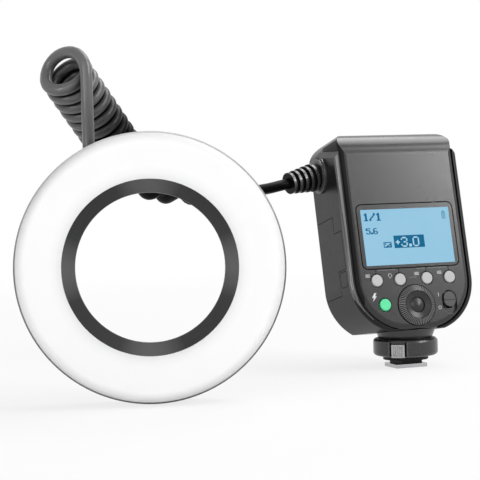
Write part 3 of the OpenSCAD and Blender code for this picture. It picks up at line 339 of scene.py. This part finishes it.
M = {
    # By the slots of the part's record
    "diffuser_white": diffuser(),
    "ring_black": plastic("ring_plastic", grey(30), 0.40, spec=0.4),
    "body_black": plastic("body_plastic", grey(30), 0.25, vary=0.06, **POLISHED),
    "cover_black": plastic("cover_plastic", grey(24), 0.34, grain=900, depth=0.00005, spec=0.22),
    "reflector": metal("reflector_metal", lin(225, 227, 230), 0.12),
    "tube_glass": glass("tube_glass", lin(238, 244, 248)),
    "clip": plastic("clip_plastic", grey(205), 0.5),
    "lamp": plastic("lamp_resin", lin(240, 225, 160), 0.3),
    "circuit_board": plastic("board_laminate", lin(30, 92, 60), 0.35, vary=0.2),
    "winding": metal("winding_copper", lin(200, 125, 70), 0.3, brush=(300, 300, 3000)),
    "steel": metal("screw_steel", lin(190, 190, 194), 0.28),
    "foot_metal": metal("foot_steel", lin(182, 182, 184), 0.24, brush=(30, 2400, 40)),
    "gold": metal("contact_gold", lin(222, 184, 104), 0.2),
    # grey(10) is the colour of the cord's painted shade
    "cord_rubber": rubber("cord_rubber", grey(92), grey(10), 0.32),
    "dial_rubber": plastic("dial_plastic", grey(22), 0.32, edge=0.0001),
    "display_window": glass("window_glass", lin(250, 252, 252), ior=1.15),
    "display_blue": glowing("display_backlight", lin(154, 202, 228), low=lin(148, 198, 226)),
    "button_grey": plastic("button_plastic", grey(186), 0.45, grain=2200, vary=0.03),
    "button_green": plastic("button_green", lin(88, 226, 160), 0.4, grain=2200, vary=0.04),
    "window_red": plastic("window_resin", lin(70, 10, 14), 0.08, coat=0.6),
    "capacitor_case": plastic("capacitor_sleeve", lin(40, 44, 56), 0.3),
    # Of single nodes
    "power_black": plastic("switch_plastic", grey(52), 0.40),
    "boot": plastic("boot_rubber", grey(12), 0.4, spec=0.12),
    "collar": plastic("collar_plastic", grey(36), 0.25, spec=0.6, **POLISHED),
    "base": plastic("base_plastic", grey(14), 0.5, spec=0.2),
    "release": plastic("release_plastic", grey(196), 0.35),
    "bezel": bezel(),
    # Of some faces of a node, as painted highlights and painted shade
    # Painted highlight on the dial's rib crests, painted shade in its valleys
    "dial_crest_highlight": plastic("dial_crest_highlights", grey(104), 0.3, edge=0.0, spec=0.7),
    "dial_valley_shade": plastic("dial_valley_shades", grey(4), 0.9, edge=0.0, spec=0.0),
    # Painted highlight on the strain relief's rib rims
    "boot_rim_highlight": plastic("boot_rim_highlights", grey(60), 0.26, edge=0.0005, spec=0.8),
    # Painted highlight on the left cover's rolled front edge
    "cover_edge_highlight": plastic("cover_edge_highlights", grey(86), 0.24, spec=0.9, **POLISHED),
    "ring_rim_highlight": rim(),
    # Painted shade on the panel's rolled left edge
    "shell_roll_shade": plastic("shell_roll_shades", grey(24), 0.5, spec=0.12),
    # Of prints and gaps, and the painted highlight beside the collar's release button
    "collar_flank_highlight": plastic("collar_flank_highlights", grey(84), 0.3, edge=0.0),
    "mask": plastic(
        "window_border", lin(26, 28, 31), 0.23, grain=3000, depth=0.00001, vary=0.05, edge=0.0
    ),
    "ink": printed("white_ink", lin(222, 224, 226)),
    "dim_ink": printed("grey_ink", lin(150, 152, 154)),
    "lcd_dark": glowing("display_figures", lin(16, 104, 146)),
    "lcd_mid": glowing("display_outline", lin(84, 150, 184)),
    "lcd_light": glowing("display_reversed", lin(176, 216, 236)),
    "gap": plastic("gap_shade", grey(8), 0.7, spec=0.05),
}
OWN = {
    "power_switch": "power_black", "controller_boot": "boot", "ring_boot": "boot", "neck": "collar",
    "foot_base": "base", "lock_collar": "collar", "lock_release_button": "release", "ring_bezel": "bezel",
}
SLOTS = {row["node"]: row["material_slot"] for row in frame["record"]["subparts"]}
for node, slot in SLOTS.items():
    NODES[node].data.materials.clear()
    NODES[node].data.materials.append(M[OWN.get(node, slot)])


# Faces with a material of their own. Each rule takes a face's middle, in millimetres, and its direction,
# both in the body, and gives the number of an added material.

RIB_DEPTH = 0.08
BOOT_RIM_DEPTH = 0.35
COVER_FRONT_Y = -12
SEAM_LEFT_X, SEAM_RIGHT_X = -36.7, -34.4
SEAM_LOW_Z, SEAM_HIGH_Z = 15, 75
ROLL_X = -30
RIM_R = 62


def repaint(node, mats, rule):
    """More materials for a node, given to its faces by a rule."""
    me = NODES[node].data
    first = len(me.materials)
    for name in mats:
        me.materials.append(M[name])
    to_body = BODY.inverted()
    for p in me.polygons:
        k = rule(to_body @ p.center / MM, to_body.to_3x3() @ p.normal)
        if k is not None:
            p.material_index = first + k


def dial_face(c, n):
    """Rib crests with a painted highlight, and the valleys between them below the dial's cone with painted
    shade.
    """
    r = math.hypot(c.x, c.z - DIAL_Z)
    cone_y = CREST_Y + (r - DISH_R) / (DIAL_R - DISH_R) * (RIM_Y - CREST_Y)
    if r < DISH_R - 0.5 or c.y > PANEL_Y + 0.5:
        return None
    return 0 if c.y < cone_y + RIB_DEPTH else 1


def boot_face(c, n):
    """The outer rims of the strain relief's ribs, which get a painted highlight."""
    arm = BODY @ (c * MM) / MM - BOOT_AT
    along = arm.dot(BOOT_DIR)
    r = (arm - along * BOOT_DIR).length
    rim_r = BOOT_R0 + (BOOT_R1 - BOOT_R0) * along / BOOT_LEN
    return 0 if along > 0 and r > rim_r - BOOT_RIM_DEPTH else None


def seam_face(c, n):
    """The walls of the seams around the battery door, which get painted shade."""
    across = SEAM_LEFT_X < c.x < SEAM_RIGHT_X and abs(n.x) < 0.3
    return 0 if across and c.y > COVER_FRONT_Y and SEAM_LOW_Z < c.z < SEAM_HIGH_Z else None


def cover_face(c, n):
    """The left cover's seam walls with painted shade, and its rolled front edge with a painted highlight.
    """
    if c.y < COVER_FRONT_Y and -0.99 < n.x < -0.25 and n.y < -0.12 and abs(n.z) < 0.3:
        return 1
    return seam_face(c, n)


def roll_face(c, n):
    """The panel's rolled left edge, which gets painted shade."""
    return 0 if n.x < -0.3 and c.x < ROLL_X and abs(n.z) < 0.5 else None


def rim_face(c, n):
    """The ring shell's thin front rim around the diffuser, which gets painted light."""
    at = RING.inverted() @ (BODY @ (c * MM)) / MM
    front = (RING_TURN.inverted() @ (BODY.to_3x3() @ n)).y < -0.3
    return 0 if front and math.hypot(at.x, at.z) > RIM_R else None


repaint("control_dial", ["dial_crest_highlight", "dial_valley_shade"], dial_face)
repaint("controller_boot", ["boot_rim_highlight"], boot_face)
repaint("ring_rear_shell", ["ring_rim_highlight"], rim_face)
repaint("side_cover_left", ["gap", "cover_edge_highlight"], cover_face)
repaint("battery_pack", ["gap"], seam_face)
repaint("rear_shell", ["shell_roll_shade"], roll_face)


# Building of pieces


def place(name, data):
    """A new object in the scene."""
    ob = bpy.data.objects.new(name, data)
    bpy.context.scene.collection.objects.link(ob)
    return ob


def piece(name, verts, faces, mat, slot, matrix=BODY, body="flash_unit"):
    """A mesh of points in millimetres in a frame, riding on a body."""
    me = bpy.data.meshes.new(name)
    me.from_pydata([matrix @ (Vector(v) * MM) for v in verts], [], faces)
    me.update()
    ob = place(name, me)
    bm = bmesh.new()
    bm.from_mesh(me)
    bmesh.ops.recalc_face_normals(bm, faces=bm.faces)
    bm.to_mesh(me)
    bm.free()
    for p in me.polygons:
        p.use_smooth = False
    me.materials.append(M[mat])
    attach(ob, body)


FIGURES = {
    "0": [".###.", "#...#", "#...#", "#...#", "#...#", "#...#", ".###."],
    "1": ["..#..", ".##..", "..#..", "..#..", "..#..", "..#..", ".###."],
    "3": [".###.", "#...#", "....#", "..##.", "....#", "#...#", ".###."],
    "5": ["#####", "#....", "####.", "....#", "....#", "#...#", ".###."],
    "6": [".###.", "#....", "#....", "####.", "#...#", "#...#", ".###."],
    "+": ["...", "...", ".#.", "###", ".#.", "...", "..."],
    "/": ["....#", "....#", "...#.", "..#..", ".#...", "#....", "#...."],
    ".": ["..", "..", "..", "..", "..", "##", "##"],
}


class Sheets:
    """Gathers flat prints on one plane, as thin closed plates."""

    def __init__(self, y, thick):
        self.y = y
        self.thick = thick
        self.verts = []
        self.faces = []

    def outline(self, points):
        """A plate from an outline of (x, z) points."""
        n = len(points)
        base = len(self.verts)
        self.verts += [(x, self.y, z) for x, z in points]
        self.verts += [(x, self.y - self.thick, z) for x, z in points]
        self.faces.append([base + i for i in range(n)])
        self.faces.append([base + n + i for i in reversed(range(n))])
        for i in range(n):
            j = (i + 1) % n
            self.faces.append([base + i, base + n + i, base + n + j, base + j])

    def frame(self, outer, inner):
        """A plate between two outlines with as many points."""
        n = len(outer)
        base = len(self.verts)
        for y in (self.y, self.y - self.thick):
            self.verts += [(x, y, z) for x, z in outer] + [(x, y, z) for x, z in inner]
        for i in range(n):
            j = (i + 1) % n
            self.faces.append([base + i, base + j, base + n + j, base + n + i])
            self.faces.append([base + 2 * n + j, base + 2 * n + i, base + 3 * n + i, base + 3 * n + j])
            self.faces.append([base + i, base + 2 * n + i, base + 2 * n + j, base + j])
            self.faces.append([base + n + i, base + n + j, base + 3 * n + j, base + 3 * n + i])

    def bar(self, x0, z0, x1, z1):
        self.outline([(x0, z0), (x1, z0), (x1, z1), (x0, z1)])

    def stroke(self, a, b, w):
        """A straight line of a width between two points."""
        a, b = Vector(a), Vector(b)
        d = (b - a).normalized()
        n = Vector((-d.y, d.x)) * (w / 2)
        self.outline([tuple(p) for p in (a + n, b + n, b - n, a - n)])

    def arc(self, x, z, r, degrees, w):
        """A line of a width around a middle, through a row of angles."""
        turns = [math.radians(a) for a in degrees]
        points = [(x + r * math.cos(a), z + r * math.sin(a)) for a in turns]
        for a, b in zip(points, points[1:]):
            self.stroke(a, b, w)

    def glyphs(self, text, x, z, cell, bold=0.0):
        """Dot-matrix figures, x at the left and z at the top, with dots widened by a share of a cell."""
        for ch in text:
            rows = FIGURES[ch]
            for r, line in enumerate(rows):
                for c, dot in enumerate(line):
                    if dot == "#":
                        self.bar(x + c * cell, z - (r + 1) * cell, x + (c + 1 + bold) * cell, z - r * cell)
            x += (len(rows[0]) + 1) * cell

    def make(self, name, mat, slot, **more):
        piece(name, self.verts, self.faces, mat, slot, **more)


def rounded(w, h, r, cx, cz, steps=6):
    """Outline of a rounded rectangle."""
    pts = []
    for sx, sz, a0 in ((1, 1, 0), (-1, 1, 90), (-1, -1, 180), (1, -1, 270)):
        for k in range(steps + 1):
            a = math.radians(a0 + 90 * k / steps)
            pts.append((cx + sx * (w / 2 - r) + r * math.cos(a), cz + sz * (h / 2 - r) + r * math.sin(a)))
    return pts


# Pieces that need room at their joints, and stand-ins for the latch springs

FLANGE_Y, FLANGE_MID_Z, SWITCH_ROOM = PANEL_Y + 2.3, 10, 1.6


def stand_in(node, name, body):
    """A copy of a node's mesh that stands for the node."""
    ob = place(name, NODES[node].data.copy())
    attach(ob, body)
    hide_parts(node)
    return ob


def switch():
    """The power switch, with room for its travel at the lower end of its hidden flange."""
    ob = stand_in("power_switch", "power_switch_knob", "power_switch")
    for v in ob.data.vertices:
        c = BODY.inverted() @ v.co / MM
        if c.y > FLANGE_Y and c.z < FLANGE_MID_Z:
            c.z += SWITCH_ROOM
            v.co = BODY @ (c * MM)


def springs():
    """Latch springs, each standing in as a copy of its node's mesh, with a mesh of its own."""
    for side, way in (("left", -1), ("right", 1)):
        ob = stand_in(f"latch_spring_{side}", f"latch_spring_{side}_coil", "flash_unit")
        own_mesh(ob)


switch()
springs()


# Display: border, lit screen and its figures under the window

SCREEN_Y = PANEL_Y + 1.25
SCREEN_LAP = 0.6
FIGURE_THICK = 0.03
BOLD = 0.9
ICON_LINE, BATTERY_LINE = 0.5, 0.4


def on_screen(u, v):
    """A place on the screen, from shares of its width and height from the upper left."""
    return -LCD_W / 2 + u * LCD_W, LCD_Z + LCD_H / 2 - v * LCD_H


def display():
    outer = rounded(WINDOW_W - 0.2, WINDOW_H - 0.2, 2.9, 0, WINDOW_Z)
    border = Sheets(PANEL_Y + 0.02, 0.05)
    border.frame(outer, rounded(LCD_W, LCD_H, 0.3, 0, LCD_Z))
    border.make("display_border", "mask", "display_window")
    edge = Sheets(PANEL_Y, 0.035)
    edge.frame(rounded(WINDOW_W + 1.0, WINDOW_H + 1.0, 3.5, 0, WINDOW_Z), outer)
    edge.make("display_edge_line", "gap", "body_black")

    screen = Sheets(SCREEN_Y, 0.05)
    half_w, half_h = LCD_W / 2 + SCREEN_LAP, LCD_H / 2 + SCREEN_LAP
    screen.bar(-half_w, LCD_Z - half_h, half_w, LCD_Z + half_h)
    screen.make("display_screen", "display_blue", "display_blue")

    dark = Sheets(SCREEN_Y - 0.06, FIGURE_THICK)
    dark.glyphs("1/1", *on_screen(0.03, 0.055), 0.62, BOLD)
    dark.glyphs("5.6", *on_screen(0.045, 0.325), 0.48, BOLD)
    x0, z0 = on_screen(0.345, 0.475)
    x1, z1 = on_screen(0.69, 0.70)
    dark.bar(x0, z1, x1, z0)
    # Exposure icon: a frame with a plus and a filled corner with a minus
    x0, z0 = on_screen(0.225, 0.585)
    x1, z1 = on_screen(0.315, 0.685)
    w = ICON_LINE
    dark.bar(x0, z0 - w, x1, z0)
    dark.bar(x0, z1, x1, z1 + w)
    dark.bar(x0, z1 + w, x0 + w, z0 - w)
    dark.bar(x1 - w, z1 + w, x1, z0 - w)
    dark.outline([(x0 + 0.9, z1 + w), (x1 - w, z1 + w), (x1 - w, z0 - 0.7)])
    dark.bar(x0 + 0.55, z0 - 1.2, x0 + 1.75, z0 - 0.92)
    dark.bar(x0 + 1.01, z0 - 1.66, x0 + 1.29, z0 - 0.46)
    dark.make("display_figures", "lcd_dark", "display_blue")

    light = Sheets(SCREEN_Y - 0.1, FIGURE_THICK)
    light.glyphs("+3.0", *on_screen(0.365, 0.505), 0.78)
    light.bar(x1 - 1.9, z1 + 0.8, x1 - 0.8, z1 + 1.1)
    light.make("display_reversed_figures", "lcd_light", "display_blue")

    # Battery icon: a case with a knob and three bars
    pale = Sheets(SCREEN_Y - 0.06, FIGURE_THICK)
    x0, z0 = on_screen(0.925, 0.075)
    x1, z1 = on_screen(0.965, 0.205)
    w = BATTERY_LINE
    pale.bar(x0, z1, x0 + w, z0)
    pale.bar(x1 - w, z1, x1, z0)
    pale.bar(x0 + w, z1, x1 - w, z1 + w)
    pale.bar(x0 + w, z0 - w, x1 - w, z0)
    pale.bar(x0 + 0.6, z0, x1 - 0.6, z0 + 0.5)
    for k in range(3):
        pale.bar(x0 + 0.65, z1 + 0.7 + k * 1.05, x1 - 0.65, z1 + 1.45 + k * 1.05)
    pale.make("display_battery_icon", "lcd_mid", "display_blue")


display()


# Marks on the panel


def panel_marks():
    ink = Sheets(PANEL_Y, 0.03)
    # Lightning bolt beside the test button
    x, z = -24.6, 16.2
    ink.outline([
        (x + 0.5, z + 2.3), (x + 1.7, z + 2.3), (x + 0.75, z + 0.55), (x + 1.8, z + 0.55),
        (x - 0.9, z - 2.4), (x - 0.1, z - 0.35), (x - 1.2, z - 0.35),
    ])
    # Lamp beside the second button
    x, z = -13.6, 27.6
    ink.arc(x, z, 0.95, range(-60, 241, 20), 0.22)
    ink.bar(x - 0.45, z - 1.5, x + 0.45, z - 1.28)
    # Bars beside the first, third and fourth buttons
    for x in (-28.0, 1.0, 14.6):
        for k in range(3):
            ink.bar(x, 27.1 + k * 0.62, x + 2.6, 27.36 + k * 0.62)
    # Marks of the switch's two positions
    ink.bar(13.6, 14.6, 13.9, 16.6)
    ink.arc(13.75, 8.6, 0.85, range(0, 361, 24), 0.24)
    ink.make("panel_icons", "ink", "button_grey")

    lines = Sheets(PANEL_Y, 0.02)
    low = WINDOW_LOW - 1.0
    for x0, x1 in ((-20.6, -9.6), (2.2, 8.0), (9.4, 20.4)):
        lines.bar(x0, low, x1, low + 0.16)
    lines.bar(-2.2, 25.9, 2.2, 26.06)
    lines.make("panel_lines", "dim_ink", "button_grey")

    ticks = Sheets(PANEL_Y, 0.02)
    for x in BUTTON_XS:
        ticks.bar(x - 0.16, BUTTON_Z + 3.6, x + 0.16, WINDOW_LOW + 0.05)
    ticks.make("panel_ticks", "gap", "body_black")


panel_marks()


# Recess of the release button in the collar, with painted shade and painted highlights

COLLAR_R, COLLAR_Z, COLLAR_H = 17.6, 6.4, 9.4
RELEASE_TURN = Matrix.Rotation(math.radians(-40), 4, "Z")
RECESS_Y = -COLLAR_R + 1.0
CLEFT_X, FLANK_X, RECESS_X = 3.8, 4.7, 5.6


def collar_recess():
    """Painted shade in a cleft on each side of the release button, and a painted highlight on the strip
    next to each.
    """
    low, high = COLLAR_Z + 0.6, COLLAR_Z + COLLAR_H - 1.2
    more = {"matrix": RELEASE_TURN, "body": "lock_collar"}
    cleft_shades = Sheets(RECESS_Y, 0.06)
    flank_highlights = Sheets(RECESS_Y, 0.05)
    for way in (-1, 1):
        cleft_shades.bar(way * CLEFT_X, low, way * FLANK_X, high)
        flank_highlights.bar(way * FLANK_X, low, way * RECESS_X, high)
    cleft_shades.make("collar_cleft_shades", "gap", "cover_black", **more)
    flank_highlights.make("collar_flank_highlights", "collar_flank_highlight", "cover_black", **more)


collar_recess()


# Cord: tail, curls and lead as one curve. Tail and curls are in the ring's frame, the lead in the row's.

CORD_D = 6.0
CURL_R = 10.4
CURLS, CURL_PITCH = 9, 6.55
BENT_CURLS, BENT_PITCH, BEND_R = 4.2, 8.6, 46
STEPS_A_CURL, LOOP_STEPS = 40, 16
COIL_AT = Vector((-39, 46, 97))
COIL_DIR = Vector((15, 24, -22)).normalized()
SIDE = Vector((0, 0.6, 0.8))
PULL = 56
TAIL_ROOT = (-28, 36.25, 56)
TAIL = [
    (-28, 36.25, 57), (-28, 36.25, 60), (-28, 36, 63.5), (-28, 34.6, 72), (-28, 33.2, 80),
    (-28, 33, 86), (-28, 33, 88), (-28, 33, 91),
]
TAIL_TOP = Vector((-28, 33, 94))
LEAD = [
    (-121, 1.5, 95.2), (-113, -2, 95.6), (-102, -0.5, 96.4),
    (-91, 4, 97.4), (-81, 9.5, 98.4), (-71, 16, 99.4),
]


def ring_to_row(p):
    return RING_AT + RING_TURN @ Vector(p)


def square_to(v, along):
    """A direction made square to another."""
    return (v - v.dot(along) * along).normalized()


BEND_WAY = square_to(Vector((1, -0.1, 0.35)), COIL_DIR)


def curl_at(k):
    """A point of the coil after a number of curls: straight at first, then round a bend."""
    b = max(0, k - CURLS) * BENT_PITCH / BEND_R
    along = math.cos(b) * COIL_DIR + math.sin(b) * BEND_WAY
    middle = COIL_AT + min(k, CURLS) * CURL_PITCH * COIL_DIR
    middle += BEND_R * (math.sin(b) * COIL_DIR + (1 - math.cos(b)) * BEND_WAY)
    n = square_to(SIDE, along)
    a = math.radians(-90 - 360 * k)
    return middle + CURL_R * (math.cos(a) * n + math.sin(a) * along.cross(n))


def pulled(p0, m0, p1, m1, u):
    """A point of a smooth line between two points, with a pull at each."""
    return (
        (2 * u**3 - 3 * u * u + 1) * p0 + (u**3 - 2 * u * u + u) * m0
        + (3 * u * u - 2 * u**3) * p1 + (u**3 - u * u) * m1
    )


def through(points, steps):
    """A smooth line through points, with a number of steps between each two."""
    out = []
    for i in range(len(points) - 1):
        p0 = points[max(i - 1, 0)]
        p1, p2 = points[i], points[i + 1]
        p3 = points[min(i + 2, len(points) - 1)]
        m1, m2 = (p2 - p0) / 2, (p3 - p1) / 2
        if i == 0:
            m1 = p2 - p1
        if i == len(points) - 2:
            m2 = p2 - p1
        out += [pulled(p1, m1, p2, m2, k / steps) for k in range(steps)]
    return out + [points[-1]]


def cord_route():
    """Points of the whole cord in the row's frame, from the ring's outlet to the strain relief."""
    last_curl = CURLS + BENT_CURLS
    steps = round(STEPS_A_CURL * last_curl)
    helix = [curl_at(last_curl * i / steps) for i in range(steps + 1)]
    start = (curl_at(0.005) - curl_at(0)).normalized()
    end = (curl_at(last_curl) - curl_at(last_curl - 0.005)).normalized()
    upward = PULL * Vector((0, 0, 1))
    loop = [
        pulled(TAIL_TOP, upward, helix[0], PULL * start, k / LOOP_STEPS) for k in range(LOOP_STEPS)
    ]
    tail = through([Vector(p) for p in TAIL], 2)
    stub = [helix[-1] + end * CORD_D * k / 3 for k in (1, 2, 3)]
    row = [ring_to_row(p) for p in (TAIL_ROOT, *tail, *loop, *helix, *stub)]
    last = row[-1]
    finish = BOOT_AT + BOOT_LEN * BOOT_DIR
    lead = [last, last + CORD_D * (RING_TURN @ end), *[Vector(p) for p in LEAD]]
    lead += [finish + CORD_D * BOOT_DIR, finish]
    return row + through(lead, 5)[1:] + [finish - 1.0 * BOOT_DIR]


def cord():
    row = cord_route()
    cu = bpy.data.curves.new("curly_cord", "CURVE")
    cu.dimensions = "3D"
    sp = cu.splines.new("POLY")
    sp.points.add(len(row) - 1)
    for p, co in zip(sp.points, row):
        p.co = (*(co * MM), 1)
    sp.use_smooth = True
    cu.bevel_depth = CORD_D / 2 * MM
    cu.bevel_resolution = 5
    cu.use_fill_caps = True
    ob = place("curly_cord", cu)
    cu.materials.append(M["cord_rubber"])
    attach(ob, "flash_unit")
    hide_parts("cord_tail", "cord_coil", "cord_lead")


cord()


# Floor, light and camera, in metres

WHITE = (1, 1, 1, 1)
FLOOR_COLOUR = (0.92, 0.92, 0.92, 1)
FLOOR_HALF = 6.0
FADE_START, FADE_STOP = 0.25, 0.9
WORLD_LIGHT = 0.22
CAMERA_AT = Vector((-0.38506, -0.78085, 0.10599))
CAMERA_TURN, CAMERA_DIP, CAMERA_ROLL = math.radians(-20.4), math.radians(2.27), math.radians(-1.70)
SENSOR, FOCAL_PIXELS, PHOTO_PIXELS = 36, 1589, 480


def seen_directly(t):
    """A mask of the rays that show a background: from the camera, or by way of metal or glass."""
    path = t.add("LightPath").outputs
    both = t.calc("MAXIMUM", path["Is Camera Ray"], path["Is Glossy Ray"])
    return t.calc("MAXIMUM", both, path["Is Transmission Ray"])


def floor_white():
    """White floor: it shows the object's shadow nearby and turns plain white farther out."""
    mat = bpy.data.materials.new("floor_white")
    mat.use_nodes = True
    t = Tree(mat.node_tree)
    t.tree.nodes.clear()
    away = t.vector("LENGTH", t.add("NewGeometry").outputs["Position"], out="Value")
    share = t.calc("MULTIPLY", seen_directly(t), t.span(away, 0.8, 1.0, FADE_START, FADE_STOP))
    lit = t.add("BsdfDiffuse", Color=FLOOR_COLOUR)
    plain = t.add("Emission", Color=WHITE, Strength=1.0)
    t.mixed(share, lit, plain, "OutputMaterial")
    return mat


def stage():
    """A wide floor, and white surroundings that light the object less than they show."""
    me = bpy.data.meshes.new("floor")
    s = FLOOR_HALF
    me.from_pydata([(-s, -s, 0), (s, -s, 0), (s, s, 0), (-s, s, 0)], [], [(0, 1, 2, 3)])
    floor = place("floor", me)
    me.materials.append(floor_white())

    world = bpy.data.worlds.new("studio")
    bpy.context.scene.world = world
    world.use_nodes = True
    t = Tree(world.node_tree)
    t.tree.nodes.clear()
    seen = t.add("Background", Color=WHITE, Strength=1.0)
    lit = t.add("Background", Color=WHITE, Strength=WORLD_LIGHT)
    t.mixed(seen_directly(t), lit, seen, "OutputWorld")


def softbox(name, at, aim, size, power):
    """A rectangular lamp at a place, turned to another."""
    data = bpy.data.lights.new(name, "AREA")
    data.shape = "RECTANGLE"
    data.size, data.size_y = size
    data.energy = power
    ob = place(name, data)
    ob.location = at
    ob.rotation_mode = "QUATERNION"
    ob.rotation_quaternion = (Vector(aim) - Vector(at)).to_track_quat("-Z", "Y")


def camera():
    """The camera as fitted to the photograph."""
    az, el, roll = CAMERA_TURN, CAMERA_DIP, CAMERA_ROLL
    fwd = Vector((-math.sin(az) * math.cos(el), math.cos(az) * math.cos(el), -math.sin(el)))
    level = Vector((math.cos(az), math.sin(az), 0))
    upright = level.cross(fwd)
    right = level * math.cos(roll) + upright * math.sin(roll)
    up = -level * math.sin(roll) + upright * math.cos(roll)
    data = bpy.data.cameras.new("camera")
    data.sensor_width = SENSOR
    data.lens = SENSOR * FOCAL_PIXELS / PHOTO_PIXELS
    data.clip_start, data.clip_end = 0.02, 50
    cam = place("camera", data)
    turn = Matrix((right, up, -fwd)).transposed()
    cam.matrix_world = Matrix.Translation(CAMERA_AT) @ turn.to_4x4()
    bpy.context.scene.camera = cam


stage()
softbox("key", (1.0, -0.6, 1.15), (-0.05, 0.0, 0.08), (0.7, 0.7), 9)
softbox("sheen", (0.79, -0.99, 0.71), (0.0, 0.0, 0.08), (0.3, 0.3), 5.3)
softbox("fill", (-0.9, -1.25, 0.8), (-0.15, 0.0, 0.08), (1.0, 1.0), 5)
softbox("strip", (-1.35, -0.62, 0.3), (-0.05, 0.0, 0.09), (0.22, 0.8), 6)
softbox("top", (0.55, 0.3, 1.15), (-0.02, 0.0, 0.08), (0.9, 0.5), 7)
camera()
bpy.context.scene.view_settings.view_transform = "Standard"
